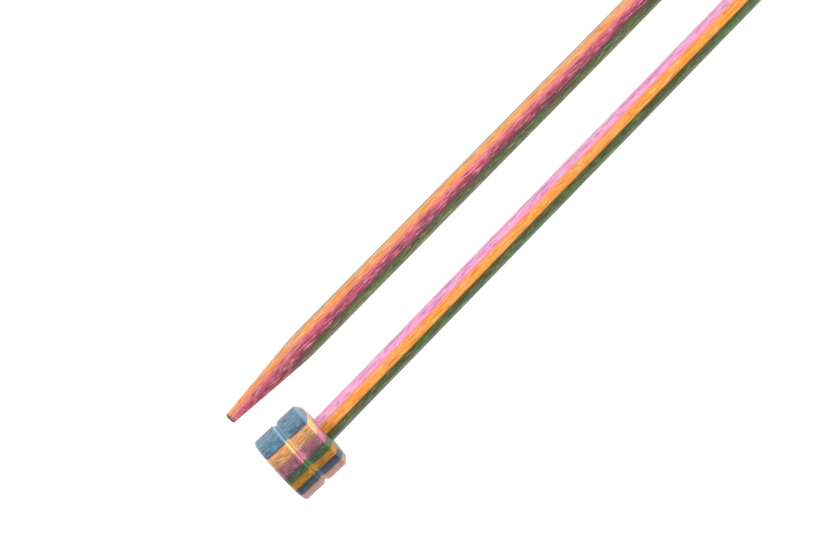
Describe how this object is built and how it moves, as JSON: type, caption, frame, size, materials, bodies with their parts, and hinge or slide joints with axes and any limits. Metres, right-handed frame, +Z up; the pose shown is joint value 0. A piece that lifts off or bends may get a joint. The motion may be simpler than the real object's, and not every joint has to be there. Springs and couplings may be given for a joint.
{
  "type": "straight knitting needles",
  "caption": "Straight single-point knitting needles of dyed laminated birch, lying head to tail, each with a tapered tip and a round, grooved end cap.",
  "frame": {"origin": "middle of the pair's footprint, on the table they lie on", "axes": "+X along needle A from its tip to its cap, +Y across from needle B to needle A, +Z up from the table"},
  "size_m": [0.2504, 0.024, 0.0124],
  "materials": {
    "grey_green_veneer": "satin varnish",
    "orange_veneer": "satin varnish",
    "pink_veneer": "satin varnish",
    "olive_veneer": "satin varnish",
    "blue_veneer": "satin varnish",
    "tan_veneer": "satin varnish",
    "maroon_veneer": "satin varnish",
    "green_veneer": "satin varnish",
    "ochre_veneer": "satin varnish",
    "navy_veneer": "satin varnish",
    "salmon_veneer": "satin varnish",
    "plum_veneer": "satin varnish",
    "light_pink_veneer": "satin varnish",
    "bright_orange_veneer": "satin varnish",
    "dark_green_veneer": "satin varnish"
  },
  "bodies": {
    "needle_a": {"needle_a_shaft_grey_green_ply": "grey_green_veneer", "needle_a_shaft_orange_ply": "orange_veneer", "needle_a_shaft_pink_ply": "pink_veneer", "needle_a_shaft_olive_ply": "olive_veneer", "needle_a_cap_blue_ply": "blue_veneer", "needle_a_cap_tan_ply": "tan_veneer", "needle_a_cap_maroon_ply": "maroon_veneer", "needle_a_cap_green_ply": "green_veneer", "needle_a_cap_ochre_ply": "ochre_veneer", "needle_a_cap_navy_ply": "navy_veneer", "needle_a_cap_salmon_ply": "salmon_veneer", "needle_a_cap_plum_ply": "plum_veneer"},
    "needle_b": {"needle_b_shaft_light_pink_ply": "light_pink_veneer", "needle_b_shaft_bright_orange_ply": "bright_orange_veneer", "needle_b_shaft_dark_green_ply": "dark_green_veneer", "needle_b_cap_blue_ply": "blue_veneer", "needle_b_cap_tan_ply": "tan_veneer", "needle_b_cap_maroon_ply": "maroon_veneer", "needle_b_cap_green_ply": "green_veneer", "needle_b_cap_ochre_ply": "ochre_veneer", "needle_b_cap_navy_ply": "navy_veneer", "needle_b_cap_salmon_ply": "salmon_veneer", "needle_b_cap_plum_ply": "plum_veneer"}
  },
  "joints": [
    {"name": "needle_b_slide", "type": "slide", "parent": "needle_a", "child": "needle_b", "axis": [1, 0, 0], "range_m": [-0.25, 0.229]}
  ]
}
